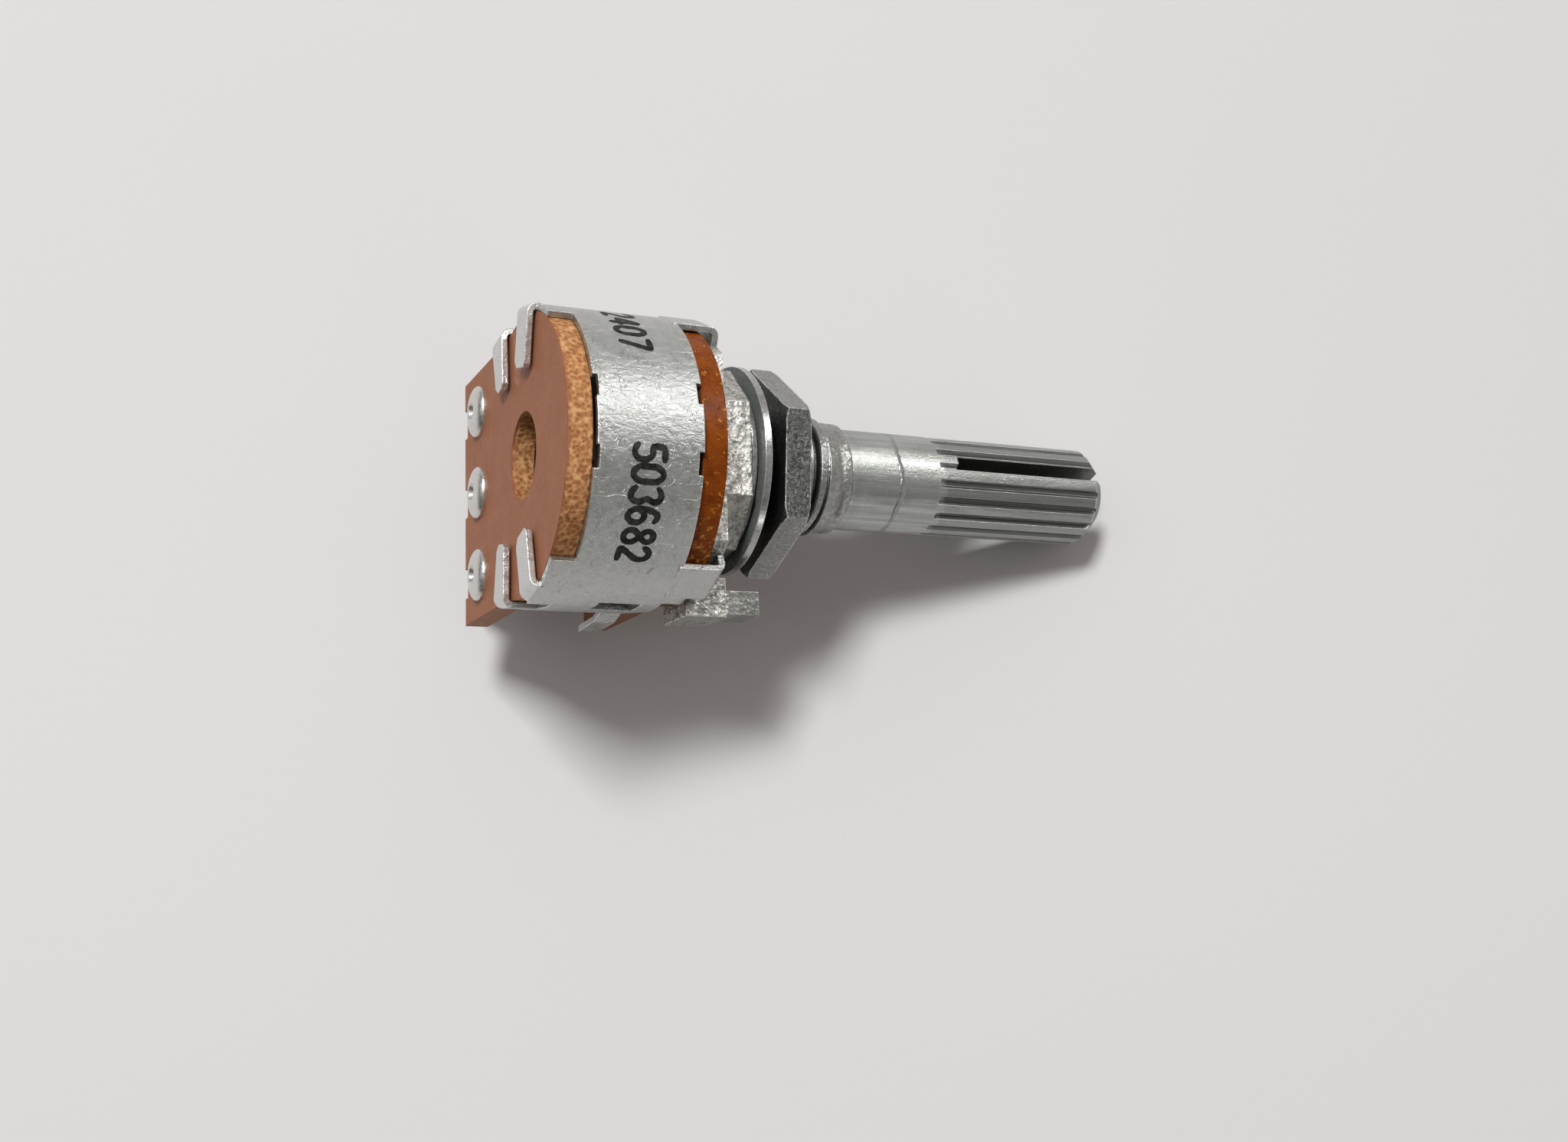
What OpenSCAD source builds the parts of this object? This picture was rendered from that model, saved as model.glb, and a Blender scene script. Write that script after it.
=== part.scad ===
// Two-gang rotary potentiometer with a splined metal shaft.
// X runs along the shaft towards its tip, Z is up with the solder pins pointing down.
// The origin is the centre of the mounting face, on the shaft's axis.

/* [Shaft] */
// Diameter of the shaft
shaft_d = 6; // [5.6:0.05:6.4]
// Length of the shaft from the mounting face to the tip
shaft_l = 25; // [20:0.5:40]
// Difference of the shaft's radius where it runs inside the bushing
journal_relief = 0.03; // [0.01:0.01:0.05]
// Length of the splined end
spline_l = 12; // [8:0.5:12.5]
// Number of ribs round the splined end
spline_teeth = 18; // [12:1:24]
// Depth of the grooves between the ribs
spline_depth = 0.32; // [0.2:0.02:0.4]
// Width of the slot that splits the tip
slot_w = 0.9; // [0.6:0.1:1.2]
// Length of the slot that splits the tip
slot_l = 10.7; // [8:0.1:11.5]
// Turn of the slot from straight up, at mid travel
slot_turn = 20; // [0:5:85]
// Length of the chamfer at the tip
tip_chamfer = 0.9; // [0.4:0.1:1.4]
// Diameter of the collar that holds the shaft in the housing
collar_d = 7.8; // [7.4:0.1:8]
// Thickness of the collar
collar_t = 0.8; // [0.6:0.05:0.9]
// Diameter of the flattened shank that carries the rotors
shank_d = 5.2; // [4.8:0.1:5.4]
// Width of the shank across its two flats
shank_flats = 4; // [3.6:0.1:4.4]
// Thickness of the peened head at the rear end of the shank
peen_t = 0.35; // [0.2:0.05:0.5]
// Whole angle that the shaft turns through
travel = 300; // [270:5:310]
// Angle that the collar's stop tooth covers
stop_tooth = 20; // [12:1:24]

/* [Housing] */
// Outer diameter of the threaded bushing
thread_d = 7; // [6.8:0.05:7.2]
// Length of the bushing in front of the mounting face
bushing_l = 7; // [6:0.25:9]
// Length of the bushing's thread
thread_l = 5.6; // [5:0.1:5.8]
// Diameter of the smooth nose in front of the thread
nose_d = 6.6; // [6.55:0.05:6.7]
// Width of the square boss behind the mounting face
boss_w = 10.4; // [9.8:0.2:11]
// Corner chamfer of the square boss
boss_corner = 2.55; // [2:0.05:2.8]
// Height of the boss in front of the flange
boss_h = 1.9; // [1.4:0.1:2.4]
// Height of the round seat ring on the boss
seat_h = 0.35; // [0.2:0.05:0.6]
// Diameter of the flange
flange_d = 14.8; // [14.4:0.2:15.2]
// Thickness of the flange
flange_t = 1.03; // [0.95:0.02:1.2]
// Level of the flange's flat lower edge, under the axis
flange_low = 6.2; // [5.4:0.1:6.6]
// Distance of the locating lug from the shaft's axis
lug_y = 7.98; // [7.8:0.02:8.2]
// Thickness of the locating lug
lug_t = 1.35; // [1:0.05:1.4]
// Width of the locating lug
lug_w = 2.6; // [2:0.1:3]
// Reach of the locating lug past the mounting face
lug_reach = 1.5; // [1:0.1:3]

/* [Nut and washer] */
// Width of the hexagon nut across its flats
nut_af = 10.65; // [10:0.05:11]
// Thickness of the hexagon nut
nut_t = 1.55; // [1.4:0.05:2]
// Chamfer on the corners of the nut
nut_chamfer = 0.3; // [0.1:0.05:0.5]
// Distance of the nut from the mounting face
nut_x = 1.7; // [1.2:0.1:2.4]
// Turn of the nut on the thread
nut_turn = 23; // [0:1:59]
// Outer diameter of the flat washer
washer_d = 12.1; // [11.5:0.1:12.5]
// Thickness of the flat washer
washer_t = 0.4; // [0.3:0.05:0.6]
// Distance of the washer from the mounting face
washer_x = 0.15; // [0:0.05:0.5]

/* [Wafers] */
// Diameter of the round upper part of both wafers
wafer_d = 15.9; // [15.5:0.1:16.3]
// Thickness of both wafers
wafer_t = 1.35; // [1.2:0.05:1.6]
// Clear distance between the two wafers
wafer_gap = 6.15; // [6:0.05:6.6]
// Distance of the wafers' lower edge under the shaft's axis
wafer_low = 12.4; // [12:0.1:14]
// Width of the wafers' lower part
wafer_foot_w = 15.1; // [14.8:0.1:15.5]
// Diameter of the hole in the rear wafer
rear_hole_d = 4.9; // [4:0.1:5.6]
// Diameter of the front wafer's hole round the shaft
front_hole_d = 6.6; // [6.4:0.1:7]
// Width of the notches in the lower edge
notch_w = 1.8; // [1.2:0.1:2]
// Depth of the notches in the lower edge
notch_depth = 0.55; // [0.3:0.05:0.8]
// Thickness of the printed tracks
film_t = 0.05; // [0.04:0.01:0.08]

/* [Terminals and rivets] */
// Distance between neighbouring terminals
pitch = 5; // [4.6:0.05:5.2]
// Distance of the rivets under the shaft's axis
rivet_drop = 9.06; // [9:0.05:10]
// Diameter of the rivets' set heads
rivet_head_d = 3.1; // [2.8:0.1:3.2]
// Height of the rivets' set heads
rivet_head_h = 0.55; // [0.4:0.05:0.7]
// Diameter of the rivets' shanks
rivet_d = 1.8; // [1.5:0.1:2]
// Diameter of the dimple in each set head
dimple_d = 1.1; // [0.8:0.1:1.3]
// Thickness of the terminals' sheet
terminal_t = 0.3; // [0.25:0.05:0.4]
// Width of the terminals' pads
pad_w = 3; // [2.6:0.1:3.2]
// Width of the terminals' pins
pin_w = 1; // [0.8:0.05:1.2]
// Distance of the pins' tips under the shaft's axis
pin_low = 16; // [15:0.25:18]

/* [Can] */
// Thickness of the can's sheet
can_t = 0.35; // [0.3:0.02:0.4]
// Clearance between the can's sheet and the wafers' rims
can_gap = 0.05; // [0.03:0.01:0.1]
// Angle from the top where the can's straight sides begin
side_turn = 98; // [96:1:102]
// Length of the can's straight sides
side_l = 3.9; // [3.6:0.1:4.2]
// Angle from the top where the two wide windows end
window_turn = 54.5; // [50:0.5:58]
// Bend radius inside the folded tabs
bend_r = 0.2; // [0.15:0.05:0.3]
// Width of the four rear tabs
tab_w = 1.9; // [1.5:0.1:2.1]
// Length of the rear tabs that lie on the rear wafer
tab_l = 3; // [2:0.1:3.2]
// Reach of the two front tabs over the flange
front_tab_l = 1; // [0.8:0.1:1.3]
// Length of the window in each side of the can
side_window_l = 2.45; // [1.5:0.05:3]
// Height of the window in each side of the can
side_window_h = 1.8; // [1:0.1:2]
// Width of the short leg under each side of the can
leg_w = 1.3; // [1:0.1:1.4]
// Length of the short leg under each side of the can
leg_l = 3.9; // [2:0.1:4.5]
// Distance that the short legs lean outwards
leg_flare = 0.5; // [0.2:0.05:0.6]
// Angle from the top of the two upper rear tabs
upper_tab_turn = 76; // [72:1:79]
// Distance of the lower rear tabs down the straight sides
lower_tab_shift = 2.15; // [1.8:0.05:2.4]
// Narrowing of the lower rear tabs towards their tips
lower_tab_taper = 0.25; // [0:0.05:0.4]
// Depth of the small steps in the edges of the can's band
band_notch = 0.28; // [0.1:0.02:0.4]

/* [Rotors and wipers] */
// Diameter of the rotors' discs
rotor_d = 13.6; // [12.6:0.1:13.8]
// Thickness of the rotors' discs
rotor_t = 1.1; // [0.9:0.1:1.2]
// Diameter of the rotors' hubs
hub_d = 7; // [6.6:0.1:7.6]
// Distance from the rotors' faces to the wafers, which the wipers bridge
wiper_rise = 1.07; // [0.9:0.01:1.2]
// Thickness of the wipers' sheet
wiper_t = 0.15; // [0.1:0.05:0.2]
// Radius of the path that the wipers' outer brush runs on
track_r = 5.65; // [5.5:0.05:5.75]
// Width of the resistive tracks
track_w = 1.3; // [1:0.1:1.4]
// Radius of the path that the wipers' inner brush runs on
collector_r = 4.1; // [4.05:0.05:4.2]
// Width of the collector rings
collector_w = 0.9; // [0.7:0.05:1]

/* [Fits] */
// Radial clearance of the shaft in the bushing
shaft_clear = 0.03; // [0.02:0.01:0.06]
// Radial clearance of the nut and the washer on the thread
thread_clear = 0.04; // [0.03:0.01:0.08]
// Clearance of pieces that are riveted or keyed together
seat_clear = 0.02; // [0.01:0.01:0.04]
// Axial clearance of the collar in its pocket
collar_clear = 0.06; // [0.04:0.01:0.1]
// Distance that the wipers' brushes keep from the tracks in the model
brush_clear = 0.04; // [0.03:0.01:0.06]

/* [Hidden] */
$fn = 96;

// Places along the shaft, from the mounting face to the rear
boss_x = -boss_h;
flange_x = boss_x - flange_t;
front_inner_x = flange_x - wafer_t;
rear_inner_x = front_inner_x - wafer_gap;
rear_x = rear_inner_x - wafer_t;
middle_x = (front_inner_x + rear_inner_x) / 2;

// Radii
shaft_r = shaft_d / 2;
journal_r = shaft_r - journal_relief;
journal_end_x = bushing_l + 0.1;
bore_r = shaft_r + shaft_clear;
thread_r = thread_d / 2;
can_in_r = wafer_d / 2 + can_gap;
can_out_r = can_in_r + can_t;
pocket_wall = 0.45;
pocket_r = boss_w / 2 - pocket_wall;
collar_r = collar_d / 2;
post_clear = 0.1;
tooth_r = pocket_r - post_clear;
pocket_depth = collar_t + 2 * collar_clear;

// The rotors stand back to back in the middle of the can
rotor_face = wafer_gap / 2 - wiper_rise;
rotor_x = middle_x + rotor_face;

// The can's edges
band_inset = 0.12;
band_front_x = front_inner_x - band_inset;
upper_wall_turn = 87;
front_tab_turn = 73;
front_step_turn = 80;
front_step = 0.35;
notch_turns = [9, 17.5];
side_window_x = middle_x + 0.65;
side_window_low = -0.6;
side_inset = 0.005;
can_low_z = (can_out_r - side_inset) * cos(side_turn) - side_l * sin(side_turn);
can_low_y = (can_out_r - side_inset) * sin(side_turn) + side_l * cos(side_turn);

// Stakes that hold each wiper on its rotor, beside the shaft and under its axis
stake_r = 0.45;
stake_y = shaft_d / 2 + 0.1;
stake_z = -stake_y * 0.94;

// Extra length with which cuts pass the faces that they open
past = 1;

// Angle left free between the stop tooth and the stop at each end of the travel
stop_margin = 1;

// Length by which pieces of one solid run into each other
joint_lap = 0.2;

// Larger than anything in the part
big = 60;

// Shapes that are drawn as Y and Z and stand on a plane across the shaft
module across(x0, x1) {
    translate([x0, 0, 0])
        rotate([90, 0, 90])
            linear_extrude(x1 - x0)
                children();
}

// A round bar or hole along the shaft's axis
module bar(x0, x1, r) {
    translate([x0, 0, 0])
        rotate([0, 90, 0])
            cylinder(h = x1 - x0, r = r);
}

// A turned shape about the shaft's axis, from points of radius and place
module turned(points, turn = 360) {
    rotate([0, 90, 0])
        rotate_extrude(angle = turn)
            polygon(points);
}

// Turns its children from the top of the axis by an angle towards +Y
module at_turn(a) {
    rotate([-a, 0, 0])
        children();
}

// Its children, and their mirror image across the middle plane of the shaft
module both_sides() {
    for (side = [0, 1])
        mirror([0, side, 0])
            children();
}

// Its children, drawn for the front wafer, moved to the rear one
module for_rear() {
    translate([2 * middle_x, 0, 0])
        mirror([1, 0, 0])
            children();
}

// Flat wedge between two angles from the top, from the lower to the higher
module wedge(low, high) {
    steps = 8;
    polygon([[0, 0],
             for (i = [0:steps]) let (a = high + (low - high) * i / steps) big * [sin(a), cos(a)]]);
}

// A bar along the axis with straight sides that leave its round top at side_turn
module sided_bar(x0, x1, r, length) {
    bar(x0, x1, r);
    both_sides()
        at_turn(side_turn)
            translate([x0, 0, 0])
                cube([x1 - x0, length, r - side_inset]);
}

// The can's sheet as an open channel with a round top
module channel(x0, x1) {
    difference() {
        sided_bar(x0, x1, can_out_r, side_l + 1);
        sided_bar(x0 - 1, x1 + 1, can_in_r, side_l + 2);
        translate([x0 - 1, -big / 2, can_low_z - big])
            cube([x1 - x0 + 2, big, big]);
    }
}

// Section through a right-angle fold, as points of radius and place.
// The wall runs back from from_x at the can's radius and folds in to a face at face_x.
function fold_section(from_x, face_x, tongue) =
    let (mid_r = can_in_r - bend_r,
         mid_x = face_x + can_t + bend_r,
         out_r = bend_r + can_t,
         steps = 8)
    concat([[can_in_r, from_x]],
           [for (i = [0:steps]) let (a = 90 * i / steps) [mid_r + bend_r * cos(a), mid_x - bend_r * sin(a)]],
           [[mid_r - tongue, face_x + can_t], [mid_r - tongue, face_x]],
           [for (i = [steps:-1:0]) let (a = 90 * i / steps) [mid_r + out_r * cos(a), mid_x - out_r * sin(a)]],
           [[can_out_r, from_x]]);

// Outer face of the four rear tabs
tab_x = rear_x - bend_r - can_t;

// Tongue of a rear tab, straight in from the top of the axis, with cropped corners
module tongue(taper) {
    half = tab_w / 2;
    crop = 0.4;
    translate([tab_x, 0, can_in_r - bend_r - side_inset])
        rotate([0, 90, 0])
            linear_extrude(can_t)
                polygon([[0, -half], [0, half], [tab_l - crop, half - taper], [tab_l, half - taper - crop],
                         [tab_l, taper + crop / 2 - half], [tab_l - crop / 2, taper - half]]);
}

// A straight folded strap at the top of the axis, let slightly into the round wall
module fold(from_x, face_x, width, reach) {
    translate([0, -width / 2, -side_inset])
        rotate([0, -90, -90])
            linear_extrude(width)
                polygon(fold_section(from_x, face_x, reach));
}

// Upper rear tab, folded from the round wall
module upper_rear_tab() {
    at_turn(upper_tab_turn) {
        fold(rear_x + joint_lap, tab_x, tab_w, joint_lap);
        tongue(0);
    }
}

// Lower rear tab, folded from the straight side, with a narrower tip
module lower_rear_tab() {
    at_turn(side_turn)
        translate([0, lower_tab_shift, 0]) {
            fold(rear_inner_x, tab_x, tab_w, joint_lap);
            tongue(lower_tab_taper);
        }
}

// Front tab: the wall runs over the flange's rim and folds in over its face
module front_tab() {
    half_turn = (front_tab_turn - window_turn) / 2;
    at_turn(window_turn + half_turn)
        mirror([1, 0, 0])
            fold(-band_front_x + joint_lap, -boss_x, 2 * can_out_r * sin(half_turn), front_tab_l);
}

// What is cut from a full-length channel to leave the can's edges
module edge_cuts() {
    front_x = flange_x - front_step;
    across(rear_x - 1, rear_inner_x) {
        wedge(-window_turn, window_turn);
        wedge(upper_wall_turn, 360 - upper_wall_turn);
    }
    across(band_front_x, front_x + 1) {
        wedge(1 - front_tab_turn, front_tab_turn - 1);
        wedge(front_step_turn, 360 - front_step_turn);
    }
    both_sides() {
        across(rear_inner_x - 1, rear_inner_x + band_notch)
            wedge(notch_turns[0], notch_turns[1]);
        across(band_front_x - band_notch, front_x + 1)
            wedge(notch_turns[0], notch_turns[1]);
    }
    across(rear_inner_x - 1, rear_inner_x + band_notch / 2)
        wedge(-notch_turns[0] - 1, notch_turns[0] + 1);
}

module side_window() {
    translate([side_window_x - side_window_l / 2, can_in_r - 1, side_window_low])
        cube([side_window_l, 2, side_window_h]);
}

// Short leg that hangs from the lower edge of the can's side
module can_leg() {
    knee_share = 0.3;
    knee_flare = 0.75;
    x0 = band_front_x - leg_w - joint_lap / 2;
    root = [can_low_y, can_low_z + joint_lap];
    knee = [can_low_y + leg_flare * knee_flare, can_low_z - leg_l * knee_share];
    foot = [can_low_y + leg_flare, can_low_z - leg_l];
    sheet = [can_t, 0];
    across(x0, x0 + leg_w)
        polygon([root, root - sheet, knee - sheet, foot - sheet, foot, knee]);
}

module can() {
    color([0.72, 0.73, 0.72])
        difference() {
            union() {
                difference() {
                    channel(rear_x, flange_x - front_step);
                    edge_cuts();
                }
                both_sides() {
                    front_tab();
                    upper_rear_tab();
                    lower_rear_tab();
                    can_leg();
                }
            }
            both_sides()
                side_window();
        }
}

// Outline of a wafer's narrow neck and wide foot, under its round top
module foot_outline() {
    shoulder_z = can_low_z - 0.15;
    foot = wafer_foot_w / 2;
    neck_r = wafer_d / 2 - side_inset;
    neck = neck_r * [sin(side_turn), cos(side_turn)];
    side = (neck.y - shoulder_z) / sin(side_turn);
    waist = neck.x + side * cos(side_turn);
    polygon([[0, 0], [-neck.x, neck.y], [-waist, shoulder_z], [-foot, shoulder_z], [-foot, -wafer_low],
             [foot, -wafer_low], [foot, shoulder_z], [waist, shoulder_z], [neck.x, neck.y]]);
}

module wafer(x0, hole_d) {
    difference() {
        union() {
            bar(x0, x0 + wafer_t, wafer_d / 2);
            across(x0, x0 + wafer_t)
                foot_outline();
        }
        bar(x0 - 1, x0 + wafer_t + 1, hole_d / 2);
        for (i = [-1:1]) {
            translate([0, i * pitch, -rivet_drop])
                bar(x0 - 1, x0 + wafer_t + 1, rivet_d / 2 + seat_clear);
            translate([x0 - 1, i * pitch - notch_w / 2, -wafer_low - 1])
                cube([wafer_t + 2, notch_w, 1 + notch_depth]);
        }
    }
}

module front_wafer() {
    color([0.55, 0.27, 0.08])
        wafer(front_inner_x, front_hole_d);
}

module rear_wafer() {
    color([0.58, 0.42, 0.32])
        wafer(rear_x, rear_hole_d);
}

// Printed resistive track with a lead from each end to an outer terminal
module track_shape() {
    end_turn = 156;
    root_turn = end_turn - 2;
    lead_w = 1;
    difference() {
        circle(r = track_r + track_w / 2);
        circle(r = track_r - track_w / 2);
        wedge(end_turn, 360 - end_turn);
    }
    for (side = [-1, 1])
        difference() {
            lead(track_r * [side * sin(root_turn), cos(root_turn)], [side * pitch, -rivet_drop], lead_w);
            pad_keep_out(side);
        }
}

// Printed collector ring with a lead to the middle terminal
module collector_shape() {
    lead_w = 1;
    difference() {
        circle(r = collector_r + collector_w / 2);
        circle(r = collector_r - collector_w / 2);
    }
    difference() {
        translate([-lead_w / 2, -rivet_drop])
            square([lead_w, rivet_drop - collector_r]);
        pad_keep_out(0);
    }
}

module lead(from, to, w) {
    way = to - from;
    side = w / 2 * [-way.y, way.x] / norm(way);
    polygon([from + side, from - side, to - side, to + side]);
}

// The print stops at the pad that is riveted over it
module pad_keep_out(i) {
    translate([i * pitch, -rivet_drop])
        circle(d = pad_w + 2 * seat_clear);
}

module front_resistive_track() {
    color([0.08, 0.08, 0.09])
        across(front_inner_x - film_t, front_inner_x)
            track_shape();
}

module rear_resistive_track() {
    color([0.08, 0.08, 0.09])
        for_rear()
            across(front_inner_x - film_t, front_inner_x)
                track_shape();
}

module front_collector_ring() {
    color([0.75, 0.74, 0.7])
        across(front_inner_x - film_t, front_inner_x)
            collector_shape();
}

module rear_collector_ring() {
    color([0.75, 0.74, 0.7])
        for_rear()
            across(front_inner_x - film_t, front_inner_x)
                collector_shape();
}

// Stamped terminal: a round pad under the rivet, a shoulder and a pin
module terminal(i) {
    shoulder_w = pad_w * 0.7;
    shoulder_l = 0.6;
    shoulder_z = shoulder_l - wafer_low;
    point_l = 0.4;
    half = pin_w / 2;
    across(front_inner_x - terminal_t, front_inner_x)
        translate([i * pitch, 0])
            difference() {
                union() {
                    translate([0, -rivet_drop])
                        circle(d = pad_w);
                    translate([-shoulder_w / 2, shoulder_z])
                        square([shoulder_w, -rivet_drop - shoulder_z]);
                    polygon([[-half, shoulder_z + joint_lap], [-half, point_l - pin_low],
                             [-half / 2, -pin_low], [half / 2, -pin_low],
                             [half, point_l - pin_low], [half, shoulder_z + joint_lap]]);
                }
                translate([0, -rivet_drop])
                    circle(d = rivet_d + 2 * seat_clear);
            }
}

module tin() {
    color([0.7, 0.7, 0.68])
        children();
}

module front_terminal_1() { tin() terminal(-1); }
module front_terminal_2() { tin() terminal(0); }
module front_terminal_3() { tin() terminal(1); }
module rear_terminal_1() { tin() for_rear() terminal(-1); }
module rear_terminal_2() { tin() for_rear() terminal(0); }
module rear_terminal_3() { tin() for_rear() terminal(1); }

// Rivet with a domed and dimpled set head outside and a flat head on the terminal
module rivet() {
    head_r = rivet_head_d / 2;
    mouth_r = dimple_d / 2;
    rim_h = 0.15;
    floor_h = 0.1;
    tail_h = 0.35;
    tail_r = pad_w * 0.46;
    tail_top_r = pad_w * 0.42;
    tail_x = front_inner_x - terminal_t;
    steps = 6;
    dome = [for (i = [0:steps]) let (a = 90 * i / steps)
                [mouth_r + (head_r - mouth_r) * cos(a), flange_x + rim_h + (rivet_head_h - rim_h) * sin(a)]];
    rotate([0, 90, 0])
        rotate_extrude($fn = 48)
            polygon(concat([[0, tail_x - tail_h], [tail_top_r, tail_x - tail_h], [tail_r, tail_x],
                            [rivet_d / 2, tail_x], [rivet_d / 2, flange_x], [head_r, flange_x]],
                           dome, [[mouth_r / 2, flange_x + floor_h], [0, flange_x + floor_h]]));
}

module rivets() {
    for (i = [-1:1])
        translate([0, i * pitch, -rivet_drop])
            rivet();
}

module front_rivets() { tin() rivets(); }
module rear_rivets() { tin() for_rear() rivets(); }

// Square boss with chamfered corners
module boss_outline() {
    half = boss_w / 2;
    near = half - boss_corner;
    polygon([[near, half], [-near, half], [-half, near], [-half, -near],
             [-near, -half], [near, -half], [half, -near], [half, near]]);
}

// Flange: a disc with a flat at the top, level with the boss, and one below
module flange_outline() {
    intersection() {
        circle(d = flange_d);
        translate([-big / 2, -flange_low])
            square([big, flange_low + boss_w / 2]);
    }
}

// Block beside the flange, with the lug that stops the part turning in its panel
module locating_lug() {
    block_t = 0.95;
    block_h = 3.5;
    block_front_x = -0.5;
    block_inner = can_in_r - 0.12;
    root_l = 1.3;
    lug_top = 1.4;
    translate([flange_x, -block_inner - block_t, lug_top - block_h])
        cube([block_front_x - flange_x, block_t + root_l, block_h]);
    translate([block_front_x - joint_lap, -lug_y - lug_t / 2, lug_top - lug_w])
        cube([lug_reach - block_front_x + joint_lap, lug_t, lug_w]);
}

module bushing() {
    nose_r = nose_d / 2;
    groove = 0.1;
    lip = 0.03;
    chamfer = 0.15;
    runout = 0.2;
    groove_x = thread_l + 0.55;
    groove_w = 0.25;
    turned([[0, -joint_lap], [thread_r, -joint_lap], [thread_r, thread_l - runout], [nose_r, thread_l],
            [nose_r, groove_x], [nose_r - groove, groove_x + groove], [nose_r - groove, groove_x + groove_w],
            [nose_r - lip, groove_x + groove + groove_w], [nose_r - lip, bushing_l - chamfer],
            [nose_r - chamfer, bushing_l], [0, bushing_l]]);
}

// Pocket in the housing's rear face, in which the collar turns, with its stop
module collar_pocket() {
    post = 360 - travel - stop_tooth - 2 * stop_margin;
    difference() {
        bar(flange_x - past, flange_x + pocket_depth, pocket_r);
        across(flange_x - 2 * past, flange_x + pocket_depth + past)
            difference() {
                wedge(180 - post / 2, 180 + post / 2);
                circle(r = collar_r + post_clear);
            }
    }
}

module front_housing() {
    recess_x = boss_x - can_t - can_gap;
    recess_r = can_in_r - bend_r - front_tab_l - 2 * can_gap;
    recess_turn = 2;
    ring_r = boss_w / 2 + 0.05;
    color([0.62, 0.63, 0.62])
        difference() {
            union() {
                across(flange_x, boss_x)
                    flange_outline();
                across(flange_x, -seat_h)
                    boss_outline();
                bar(-seat_h - joint_lap, 0, ring_r);
                bushing();
                locating_lug();
            }
            bar(flange_x - past, bushing_l + past, bore_r);
            collar_pocket();
            both_sides()
                across(recess_x, boss_x + past)
                    difference() {
                        wedge(window_turn - recess_turn, front_tab_turn + recess_turn);
                        circle(r = recess_r);
                    }
        }
}

module hex_nut() {
    corner = nut_af / 2 / cos(30);
    face_r = corner - nut_chamfer;
    lip = nut_chamfer / 2;
    color([0.6, 0.61, 0.6])
        translate([nut_x, 0, 0])
            difference() {
                intersection() {
                    across(0, nut_t)
                        rotate(90 - nut_turn)
                            circle(r = corner, $fn = 6);
                    turned([[0, 0], [face_r, 0], [corner + joint_lap, lip + joint_lap / 2],
                            [corner + joint_lap, nut_t - lip - joint_lap / 2], [face_r, nut_t], [0, nut_t]]);
                }
                bar(-1, nut_t + 1, thread_r + thread_clear);
            }
}

module flat_washer() {
    color([0.45, 0.46, 0.47])
        difference() {
            bar(washer_x, washer_x + washer_t, washer_d / 2);
            bar(washer_x - 1, washer_x + washer_t + 1, thread_r + thread_clear);
        }
}

// Ribs round the shaft's end
module spline_grooves() {
    groove_share = 0.5;
    half = shaft_r * sin(180 / spline_teeth * groove_share);
    floor_half = 0.1;
    lift = 0.3;
    spread = half + (half - floor_half) * lift / spline_depth;
    across(shaft_l - spline_l, shaft_l + past)
        for (i = [0:spline_teeth - 1])
            rotate(360 / spline_teeth * (i + 0.5) - slot_turn)
                translate([0, shaft_r])
                    polygon([[-spread, lift], [-floor_half, -spline_depth], [floor_half, -spline_depth],
                             [spread, lift]]);
}

// Shank with two flats that carries both rotors
module shank_outline() {
    intersection() {
        circle(d = shank_d);
        square([shank_flats, big], center = true);
    }
}

module shaft() {
    peen_x = middle_x - rotor_face;
    peen_lip = 0.3;
    shank_root = 0.5;
    collar_x = flange_x + collar_clear;
    tip_slope = 0.88;
    color([0.66, 0.67, 0.66])
        difference() {
            union() {
                turned([[0, rotor_x], [journal_r, rotor_x], [journal_r, journal_end_x],
                        [shaft_r, journal_end_x], [shaft_r, shaft_l - tip_chamfer],
                        [shaft_r - tip_chamfer * tip_slope, shaft_l], [0, shaft_l]]);
                bar(collar_x, collar_x + collar_t, collar_r);
                across(collar_x, collar_x + collar_t)
                    intersection() {
                        circle(r = tooth_r);
                        wedge(-stop_tooth / 2, stop_tooth / 2);
                    }
                across(peen_x, rotor_x + shank_root)
                    shank_outline();
                bar(peen_x - peen_t, peen_x, shank_d / 2 + peen_lip);
            }
            spline_grooves();
            translate([shaft_l - slot_l, 0, 0])
                at_turn(slot_turn)
                    translate([0, -slot_w / 2, -big / 2])
                        cube([slot_l + past, slot_w, big]);
        }
}

// Moulded rotor: a disc on a keyed hub, with two stakes for its wiper
module rotor() {
    stake_h = 0.2;
    difference() {
        union() {
            bar(middle_x, rotor_x, hub_d / 2);
            bar(rotor_x - rotor_t, rotor_x, rotor_d / 2);
            stake_places()
                bar(rotor_x - joint_lap, rotor_x + wiper_t + stake_h, stake_r);
        }
        keyed_hole();
    }
}

module keyed_hole() {
    intersection() {
        bar(middle_x - past, rotor_x + past, shank_d / 2 + seat_clear);
        translate([middle_x - past, -shank_flats / 2 - seat_clear, -big / 2])
            cube([rotor_face + 2 * past, shank_flats + 2 * seat_clear, big]);
    }
}

module stake_places() {
    for (side = [-1, 1])
        translate([0, side * stake_y, stake_z])
            children();
}

module front_rotor() {
    color([0.12, 0.12, 0.13])
        rotor();
}

module rear_rotor() {
    color([0.12, 0.12, 0.13])
        for_rear()
            rotor();
}

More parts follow.
